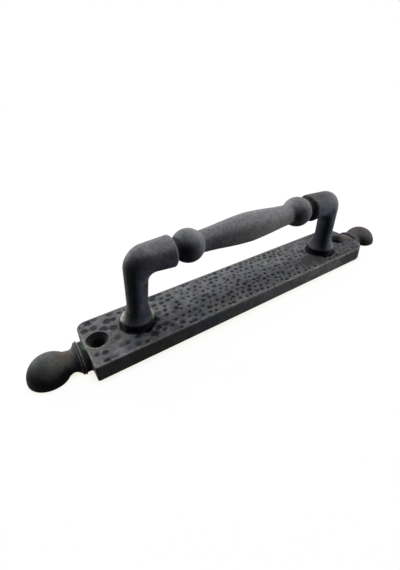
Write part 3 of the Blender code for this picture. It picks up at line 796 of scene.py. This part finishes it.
# %% Bare metal with a painted glint, painted light and painted sheen
# The lips of the feet are bare metal, painted bright partly as a glint.
RUBBED_AND_GLINT = [((-LEFT_REACH - 0.0082, 0.0045, FOOT_BASE + 0.0062), (0.0035, 0.0045, 0.0034), 2.20),
          ((-LEFT_REACH + 0.0102, -0.0035, FOOT_BASE + 0.0052), (0.0020, 0.0040, 0.0034), 1.54),
          ((RIGHT_REACH + 0.0098, -0.0040, FOOT_BASE + 0.0052), (0.0020, 0.0040, 0.0030), 0.88)]
points, facing = places(handle), places(handle, "normal")
x, up = points[:, 0], points[:, 2]
reach, to_right, at_arm = np.abs(x), facing[:, 0], up > GRIP_Z - 0.02
tip = fall(np.abs(reach - ARM_END - 0.0006), 0.0006, 0.0016) * at_arm
crown = rise(up, GRIP_Z + GRIP_BALL - 0.0022, GRIP_Z + GRIP_BALL)
write_mask(handle, "wear_and_glint", spots(points, RUBBED_AND_GLINT) + 0.08 * tip + 0.04 * crown)
# Painted light: the grip, more toward its right, the left bend, what faces right on the upper
# handle and the right post, and what faces left on the left post.
pale_and_lit = fall(reach, 0.040, 0.046) * (up > 0.040) * (0.35 + 1.05 * rise(x, -0.030, 0.024))
pale_and_lit += spots(points, [((-0.086, 0.0, 0.062), (0.0080, 0.0110, 0.0080), 0.9)])
pale_and_lit += rise(to_right, 0.05, 0.55) * ((up > 0.042) + 1.0 * (x > 0.072))
pale_and_lit += 1.4 * rise(-to_right, 0.50, 0.85) * (x < -0.07) * (up > 0.022)
write_mask(handle, "pale_and_lit", pale_and_lit, 1.45)
# Painted sheen: what faces up is painted lighter.
write_mask(handle, "painted_sheen", rise(facing[:, 2], 0.34, 0.74))

# %% Painted shade
# Painted shade above the right arm and on the front of each ball.
SHADE_SPOTS = [((0.067, 0.0, 0.064), (0.0110, 0.0140, 0.0100), 1.2),
              ((-BALL_AT - 0.0055, -0.0090, GRIP_Z), (0.0070, 0.0080, 0.0075), 1.4),
              ((BALL_AT - 0.0055, -0.0090, GRIP_Z), (0.0070, 0.0080, 0.0075), 0.5)]
dull_and_shaded = spots(points, SHADE_SPOTS)
# Painted shade on the inner side of each post.
dull_and_shaded += 0.9 * rise(-to_right, 0.1, 0.6) * (x > 0.07) * (up < 0.050)
dull_and_shaded += 0.9 * rise(to_right, 0.1, 0.6) * (x < -0.07) * (up < 0.046)
write_mask(handle, "dull_and_shade", dull_and_shaded, 1.3)
# Painted shade in the groove at each end of the grip and on the band just above the feet.
joint_shade = fall(np.abs(reach - ARM_END + 0.0016), 0.0010, 0.0026) * at_arm
base = fall(up, FOOT_BASE + FOOT_RIM + 0.0005, FOOT_BASE + FOOT_RIM + 0.0018)
write_mask(handle, "painted_shade", np.maximum(joint_shade, base))
smooth(handle, 50)
print("handle triangles", len(handle.data.polygons))

# %% [markdown]
# ## Setting the handle on the plate
# The real handle isn't quite true to its plate: it is turned by a degree and a half and its far
# foot stands nearer the front edge. The casting was drawn square to its own middle, where masks
# are easy to write, and is now turned and moved as a whole.

# %% Turn the casting into its place
HANDLE_MIDDLE, HANDLE_TURN = (0.00017, -0.0014, 0.0), -0.0282
handle.data.transform(Matrix.Translation(HANDLE_MIDDLE) @ Matrix.Rotation(HANDLE_TURN, 4, "Z"))
handle_places = places(handle)
print("handle spans x, mm", np.round(1000 * handle_places[:, 0].min(), 1),
      np.round(1000 * handle_places[:, 0].max(), 1))

# %% [markdown]
# ## Screws from behind
# Nothing on the front holds the handle, so two slotted machine screws come up through the back of
# the plate into the feet. The head and the shank are a few rings, the slot is cut with a Boolean,
# and the thread, which follows a helix, is made by Geometry Nodes: a spiral with a small
# three-sided profile, joined to the shank.

# %% Head, shank and slot
SHOULDER = SEAT_DEPTH - 0.0003
SCREW_FOOT, SCREW_TOP = SHOULDER - 0.0030, PLATE_TOP + 0.012
HEAD_RADIUS, SHANK_RADIUS, SCREW_TIP = 0.0046, 0.00215, 0.0014
SLOT_SIZE = (0.012, 0.0011, 0.0024)


def build_screw(name, x, y):
    mesh = bmesh.new()
    levels = ((SCREW_FOOT, HEAD_RADIUS - 0.0006), (SCREW_FOOT + 0.0002, HEAD_RADIUS - 0.0002),
              (SCREW_FOOT + 0.0005, HEAD_RADIUS), (SHOULDER - 0.0002, HEAD_RADIUS),
              (SHOULDER, HEAD_RADIUS - 0.0002), (SHOULDER, SHANK_RADIUS + 0.00015),
              (0.0060, SHANK_RADIUS), (SCREW_TOP - 0.0010, SHANK_RADIUS), (SCREW_TOP, SCREW_TIP))
    rings = [round_ring(mesh, x, y, z, radius, 40) for z, radius in levels]
    skin(mesh, rings)
    mesh.faces.new(rings[0])
    mesh.faces.new(rings[-1])
    screw = stand(name, mesh)
    slot_mesh = bmesh.new()
    size = Matrix.Diagonal((*SLOT_SIZE, 1.0))
    bmesh.ops.create_cube(slot_mesh, matrix=Matrix.Translation((x, y, SCREW_FOOT)) @ size)
    combine(screw, stand("slot", slot_mesh), "DIFFERENCE")
    return screw


screws = [build_screw("machine_screw_left", *FEET[0]),
          build_screw("machine_screw_right", *FEET[1])]

# %% Thread along a helix
thread, given = new_tree("screw thread", [
    ("Screw X", "Float"), ("Screw Y", "Float"), ("Start", "Float"), ("Length", "Float"),
    ("Pitch", "Float"), ("Core radius", "Float"), ("Thread depth", "Float"),
    ("Metal", "Material")])
helix = add(thread, "GeometryNodeCurveSpiral", Resolution=28,
            Rotations=maths(thread, "DIVIDE", given["Length"], given["Pitch"]),
            Start_Radius=given["Core radius"], End_Radius=given["Core radius"],
            Height=given["Length"]).outputs[0]
profile = add(thread, "GeometryNodeCurvePrimitiveCircle", Resolution=3,
              Radius=given["Thread depth"]).outputs[0]
ridge = add(thread, "GeometryNodeCurveToMesh", Curve=helix, Profile_Curve=profile,
            Fill_Caps=True).outputs[0]
place = combined(thread, X=given["Screw X"], Y=given["Screw Y"], Z=given["Start"])
ridge = add(thread, "GeometryNodeTransform", Geometry=ridge, Translation=place).outputs[0]
both = thread.nodes.new("GeometryNodeJoinGeometry")
thread.links.new(ridge, both.inputs[0])
thread.links.new(given["Geometry"], both.inputs[0])
end_tree(thread, both.outputs[0], given["Metal"])

screw_metal = bpy.data.materials.new("turned_steel")
for screw, (x, y) in zip(screws, FEET):
    run_tree(screw, thread, {"Screw X": x, "Screw Y": y, "Start": 0.0065,
                             "Length": SCREW_TOP - 0.0080, "Pitch": 0.0008,
                             "Core radius": 0.0021, "Thread depth": 0.00038,
                             "Metal": screw_metal})
    smooth(screw, 35)

# %% [markdown]
# ## Black patina
# The black isn't paint. It is a thin dark skin on a copper alloy, so it drifts from blue-grey to a
# greenish grey over a few centimetres, is darker where a blow pushed it down, and has worn to
# bare metal along the edges. One noise alone would look like stone. The finish is laid on in
# layers: the drifting ground, the lighter and darker places that are partly painted light and
# painted shade, the pits, the painted shade in grooves and holes, the bare metal over them with
# a painted glint, and last the stains, pinholes and pale specks. Each layer is a mask, a share
# and a colour, so the order is easy to read and to change.

# %% Helpers for a finish
def coat_noise(tree, at, scale, detail, roughness=0.55, bend=0.0):
    return add(tree, "ShaderNodeTexNoise", Vector=at, Scale=scale, Detail=detail,
               Roughness=roughness, Distortion=bend).outputs["Fac"]


def tint(tree, amount, under, over, how="MIX"):
    """Lays one colour over another by an amount."""
    return add(tree, "ShaderNodeMix", {"data_type": "RGBA", "blend_type": how}, i0=amount,
               i6=under, i7=over).outputs[2]


def lay(tree, colour, layers):
    """Lays several colours over a ground; a layer is an amount, its share and its colour."""
    for amount, share, shade in layers:
        colour = tint(tree, times(tree, amount, share), colour, shade)
    return colour


def mask_of(tree, label):
    return add(tree, "ShaderNodeAttribute", {"attribute_name": label}).outputs["Fac"]


def specks(tree, at, scale, radius, share):
    """Small round dots, one in a share of the cells of a cell pattern."""
    cells = add(tree, "ShaderNodeTexVoronoi", Vector=at, Scale=scale)
    chosen = add(tree, "ShaderNodeSeparateColor", Color=cells.outputs["Color"])
    return times(tree, between(tree, cells.outputs["Distance"], radius, radius * 0.4),
                 maths(tree, "LESS_THAN", chosen.outputs[0], share))


def drifting(tree, at, scale, offset):
    """A slow mask; offset shifts it, so that two masks don't fall on the same places."""
    moved = vector(tree, "ADD", at, offset)
    return between(tree, coat_noise(tree, moved, scale, 3.0, bend=0.5), 0.50, 0.66)

# %% Colours of the coat, and of its painted light and painted shade
# The two colours below are painted light, the first partly, the second as a sheen on upward faces.
PALE_AND_LIT_COLOUR, PAINTED_SHEEN_COLOUR = (0.190, 0.190, 0.186, 1), (0.232, 0.233, 0.240, 1)
# The first colour below is partly painted shade.
DULL_AND_SHADE_COLOUR, IN_PIT = (0.018, 0.019, 0.019, 1), (0.015, 0.016, 0.021, 1)
# The first colour below is painted shade.
PAINTED_SHADE_COLOUR, PINHOLE = (0.004, 0.004, 0.005, 1), (0.006, 0.006, 0.007, 1)
GREEN, BROWN, DUST = (0.040, 0.130, 0.085, 1), (0.135, 0.080, 0.042, 1), (0.40, 0.42, 0.40, 1)


def coat_layers(tree, at, patches, worn_and_glint, line, metal):
    drifts = [(drifting(tree, at, scale, offset), share, shade)
              for shade, share, scale, offset in patches]
    pit = between(tree, mask_of(tree, "dent"), 0.05, 0.60)
    # The lighter mask layers paint light, the darker ones after them paint shade, and the bare
    # metal carries a painted glint.
    return drifts + [(mask_of(tree, "pale_and_lit"), 0.60, PALE_AND_LIT_COLOUR),
                     (mask_of(tree, "painted_sheen"), 0.66, PAINTED_SHEEN_COLOUR), (mask_of(tree, "dull_and_shade"), 0.58, DULL_AND_SHADE_COLOUR),
                     (pit, 0.84, IN_PIT), (mask_of(tree, "painted_shade"), 0.94, PAINTED_SHADE_COLOUR),
                     (worn_and_glint, line, metal)]


def stain_layers(tree, at, pinholes):
    mottle = between(tree, coat_noise(tree, at, 700.0, 4.0, 0.75), 0.40, 0.56)
    stains = [(times(tree, mask_of(tree, label), mottle), 0.75, shade)
              for label, shade in (("green", GREEN), ("brown", BROWN))]
    return stains + [(pinholes, 0.8, PINHOLE), (specks(tree, at, 230.0, 0.080, 0.06), 0.8, DUST)]

# %% Patina shared by plate and handle
GLOSS, GLOSS_TINT = 0.03, (0.66, 0.84, 1.0, 1)
COARSE_RELIEF, FINE_RELIEF = 0.00022, 0.00008


def patina(material, dark, light, patches, line, metal):
    """patches lists (colour, share, scale, offset); line is how far bare metal with its painted
    glint shows on rubbed edges.
    """
    material.use_nodes = True
    tree = material.node_tree
    shader = tree.nodes["Principled BSDF"].inputs
    at = add(tree, "ShaderNodeTexCoord").outputs["Object"]
    cloud = between(tree, coat_noise(tree, at, 110.0, 5.0, 0.60), 0.30, 0.70)
    rub = between(tree, coat_noise(tree, at, 420.0, 4.0, 0.7), 0.38, 0.58)
    worn_and_glint = times(tree, mask_of(tree, "wear_and_glint"), rub)
    colour = lay(tree, tint(tree, cloud, dark, light),
                 coat_layers(tree, at, patches, worn_and_glint, line, metal))
    grain = coat_noise(tree, at, 950.0, 4.0, 0.75)
    blotch = between(tree, coat_noise(tree, at, 330.0, 3.0, 0.6), 0.34, 0.66, 0.88, 1.10)
    fleck = times(tree, between(tree, grain, 0.36, 0.64, 0.76, 1.22), blotch)
    many = add(tree, "ShaderNodeCombineColor", Red=fleck, Green=fleck, Blue=fleck).outputs[0]
    pinholes = specks(tree, at, 190.0, 0.105, 0.30)
    put(tree, shader["Base Color"], lay(tree, tint(tree, 1.0, colour, many, "MULTIPLY"),
                                        stain_layers(tree, at, pinholes)))
    rough = between(tree, coat_noise(tree, at, 260.0, 4.0, 0.6), 0.3, 0.7, 0.46, 0.64)
    put(tree, shader["Roughness"], minus(tree, rough, times(tree, worn_and_glint, 0.12)))
    shader["Specular IOR Level"].default_value = GLOSS
    shader["Specular Tint"].default_value = GLOSS_TINT
    height = minus(tree, coat_noise(tree, at, 420.0, 4.0, 0.65), times(tree, pinholes, 0.8))
    coarse = add(tree, "ShaderNodeBump", Strength=1.0, Distance=COARSE_RELIEF, Height=height)
    fine = add(tree, "ShaderNodeBump", Strength=1.0, Distance=FINE_RELIEF, Height=grain,
               Normal=coarse.outputs[0])
    put(tree, shader["Normal"], fine.outputs[0])
    print(material.name, len(tree.nodes), "nodes")

# %% Finish of the plate
PLATE_DARK, PLATE_LIGHT = (0.070, 0.072, 0.083, 1), (0.186, 0.188, 0.202, 1)
PLATE_DRIFTS = (((0.088, 0.092, 0.132, 1), 0.65, 42.0, (0.3, 0.0, 0.0)),
                ((0.105, 0.116, 0.100, 1), 0.60, 48.0, (0.0, 0.7, 0.0)),
                ((0.124, 0.110, 0.096, 1), 0.50, 55.0, (0.0, 0.0, 1.3)))
# Bare metal of the edges, painted bright partly as a glint.
PLATE_BARE_AND_GLINT = (0.38, 0.36, 0.30, 1)
patina(plate_metal, PLATE_DARK, PLATE_LIGHT, PLATE_DRIFTS, 0.75, PLATE_BARE_AND_GLINT)

# %% Finish of the handle
HANDLE_DARK, HANDLE_LIGHT = (0.032, 0.037, 0.060, 1), (0.092, 0.096, 0.128, 1)
HANDLE_DRIFTS = (((0.080, 0.080, 0.116, 1), 0.6, 36.0, (0.9, 0.0, 0.0)),
                 ((0.120, 0.120, 0.114, 1), 0.6, 22.0, (0.0, 0.4, 0.2)),
                 ((0.130, 0.118, 0.106, 1), 0.4, 60.0, (0.5, 0.5, 0.0)))
# Bare metal of the feet, painted bright partly as a glint.
HANDLE_BARE_AND_GLINT = (0.74, 0.70, 0.55, 1)
handle_metal = bpy.data.materials.new("patina_handle")
patina(handle_metal, HANDLE_DARK, HANDLE_LIGHT, HANDLE_DRIFTS, 0.90, HANDLE_BARE_AND_GLINT)
handle.data.materials.append(handle_metal)

# %% [markdown]
# ## Turned steel
# The screws are plain steel, and the damp behind a plate leaves some brown on them. Painting them
# one grey would make them look like plastic. So the steel is metallic with a fine bump, and a
# noise lays rust in patches, which are rougher and hardly metallic.

# %% Steel of the screws
RUST = (0.16, 0.075, 0.032, 1)
STEEL_DARK, STEEL_LIGHT = (0.34, 0.33, 0.31, 1), (0.50, 0.49, 0.47, 1)
screw_metal.use_nodes = True
tree = screw_metal.node_tree
shader = tree.nodes["Principled BSDF"].inputs
at = add(tree, "ShaderNodeTexCoord").outputs["Object"]
rust = between(tree, coat_noise(tree, at, 520.0, 5.0, 0.7), 0.50, 0.66)
steel = tint(tree, coat_noise(tree, at, 900.0, 3.0), STEEL_DARK, STEEL_LIGHT)
put(tree, shader["Base Color"], lay(tree, steel, [(rust, 0.75, RUST)]))
put(tree, shader["Metallic"], between(tree, rust, 0.0, 1.0, 0.95, 0.2))
put(tree, shader["Roughness"], between(tree, rust, 0.0, 1.0, 0.36, 0.75))
bump = add(tree, "ShaderNodeBump", Strength=0.5, Distance=0.00004,
           Height=coat_noise(tree, at, 1600.0, 4.0, 0.7))
put(tree, shader["Normal"], bump.outputs[0])
print(screw_metal.name, len(tree.nodes), "nodes")

# %% [markdown]
# ## Tie the pieces to the part
# Each fine piece takes the place of the solid that it dresses and rides on the part's only body.

# %% Ride and replace
for piece, node, slot in ((plate, "backplate", "plate_black"),
                          (handle, "pull_handle", "handle_black"),
                          (screws[0], "fixing_screw_left", "screw_steel"),
                          (screws[1], "fixing_screw_right", "screw_steel")):
    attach(piece, "root")
    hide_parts(node)
    low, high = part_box(node)
    own = places(piece)
    print(piece.name, "stands off its solid's box by, mm",
          np.round(1000 * (own.min(axis=0) - np.array(low)), 2),
          np.round(1000 * (own.max(axis=0) - np.array(high)), 2))

# %% [markdown]
# ## White studio
# The photograph has a pure white ground with only a faint warm shadow where the metal touches it.
# A white floor lit to full white would also throw light up on the pull, so the floor looks white
# only to the camera and to reflections, and throws little light back up. The contact shadow
# comes from ambient occlusion, which tells how near the metal is: close to it the glow is a little
# weaker and warmer. One lamp hangs over the pull, one stands behind it like a window, and a low
# one lights it from each side. The side toward the camera has no lamp, which is why it stays
# nearly black in the photograph.

# %% Floor
FLOOR_DROP, FLOOR_GREY = 0.0002, (0.06, 0.06, 0.06, 1)
CONTACT_REACH, CONTACT_WARM, WHITE = 0.008, (1.0, 0.96, 0.84, 1), (1, 1, 1, 1)


def seen(tree):
    """1 for what the camera or a reflection sees, 0 for light that falls on the pull."""
    path = add(tree, "ShaderNodeLightPath").outputs
    return maths(tree, "MAXIMUM", path["Is Camera Ray"],
                 maths(tree, "MAXIMUM", path["Is Glossy Ray"], path["Is Transmission Ray"]))


floor_mesh = bmesh.new()
bmesh.ops.create_grid(floor_mesh, x_segments=1, y_segments=1, size=3.0,
                      matrix=Matrix.Translation((0, 0, -FLOOR_DROP)))
floor = stand("floor", floor_mesh)
paper = bpy.data.materials.new("paper_floor")
paper.use_nodes = True
tree = paper.node_tree
tree.nodes.clear()
soft = add(tree, "ShaderNodeBsdfDiffuse", Color=FLOOR_GREY).outputs[0]
from_pull = vector(tree, "LENGTH", add(tree, "ShaderNodeTexCoord").outputs["Object"])
touch = add(tree, "ShaderNodeAmbientOcclusion", {"samples": 16},
            Distance=CONTACT_REACH).outputs["AO"]
contact = between(tree, touch, 0.20, 0.85, 0.88, 1.0)
warmth = tint(tree, between(tree, touch, 0.20, 0.90), CONTACT_WARM, WHITE)
level = times(tree, between(tree, from_pull, 0.18, 0.5, 0.95, 1.0), contact)
glow = add(tree, "ShaderNodeEmission", Color=warmth, Strength=times(tree, seen(tree), level))
both = tree.nodes.new("ShaderNodeAddShader")
tree.links.new(soft, both.inputs[0])
tree.links.new(glow.outputs[0], both.inputs[1])
tree.links.new(both.outputs[0], tree.nodes.new("ShaderNodeOutputMaterial").inputs[0])
floor.data.materials.append(paper)

# %% World
AMBIENT, AMBIENT_BLUE = 0.012, (0.55, 0.78, 1.0, 1)
world = bpy.data.worlds.new("studio")
bpy.context.scene.world = world
world.use_nodes = True
tree = world.node_tree
sky, eye = tree.nodes["Background"].inputs, seen(tree)
put(tree, sky["Strength"], between(tree, eye, 0.0, 1.0, AMBIENT, 1.0))
put(tree, sky["Color"], tint(tree, eye, AMBIENT_BLUE, WHITE))
print(world.name, len(tree.nodes), "nodes")

# %% Lamps
LAMP_DISTANCE = 0.7


def hang_lamp(name, azimuth, elevation, size, watts):
    """A square lamp that looks at the pull; the azimuth is counted from +X toward +Y."""
    azimuth, elevation = math.radians(azimuth), math.radians(elevation)
    level = LAMP_DISTANCE * math.cos(elevation)
    place = Vector((level * math.cos(azimuth), level * math.sin(azimuth),
                    LAMP_DISTANCE * math.sin(elevation)))
    lamp = bpy.data.lights.new(name, "AREA")
    lamp.shape, lamp.size, lamp.energy = "SQUARE", size, watts
    obj = bpy.data.objects.new(name, lamp)
    obj.location = place
    obj.rotation_mode = "QUATERNION"
    obj.rotation_quaternion = (-place).to_track_quat("-Z", "Y")
    bpy.context.scene.collection.objects.link(obj)
    print(name, "at", [round(v, 2) for v in place], watts, "W")


hang_lamp("overhead", 60, 76, 0.35, 3.4)
hang_lamp("window", 85, 38, 0.40, 1.5)
hang_lamp("right_side", 332, 10, 0.25, 3.9)
hang_lamp("left_side", 124, 14, 0.22, 2.7)

# %% [markdown]
# ## Camera
# The photograph was taken from the left and above with a wide lens close by, which is why the
# near finial looks so much larger than the far one. The place, the turn and the focal length were
# solved from the outline of the pull.

# %% Camera from the photograph's angle
lens = bpy.data.cameras.new("photo_camera")
lens.sensor_width, lens.lens = 36.0, 20.763
lens.shift_x, lens.shift_y = 0.00550, -0.03777
lens.clip_start, lens.clip_end = 0.01, 20.0
camera = bpy.data.objects.new("photo_camera", lens)
right = Vector((0.84184, -0.53843, -0.03744)).normalized()
back = Vector((-0.44572, -0.73265, 0.51435)).normalized()
upward = back.cross(right).normalized()
turn = Matrix((upward.cross(back), upward, back)).transposed()
camera.matrix_world = Matrix.Translation((-0.13979, -0.16179, 0.15281)) @ turn.to_4x4()
bpy.context.scene.collection.objects.link(camera)
bpy.context.scene.camera = camera
bpy.context.scene.view_settings.view_transform = "Standard"
print("camera looks along", [round(v, 3) for v in -back])
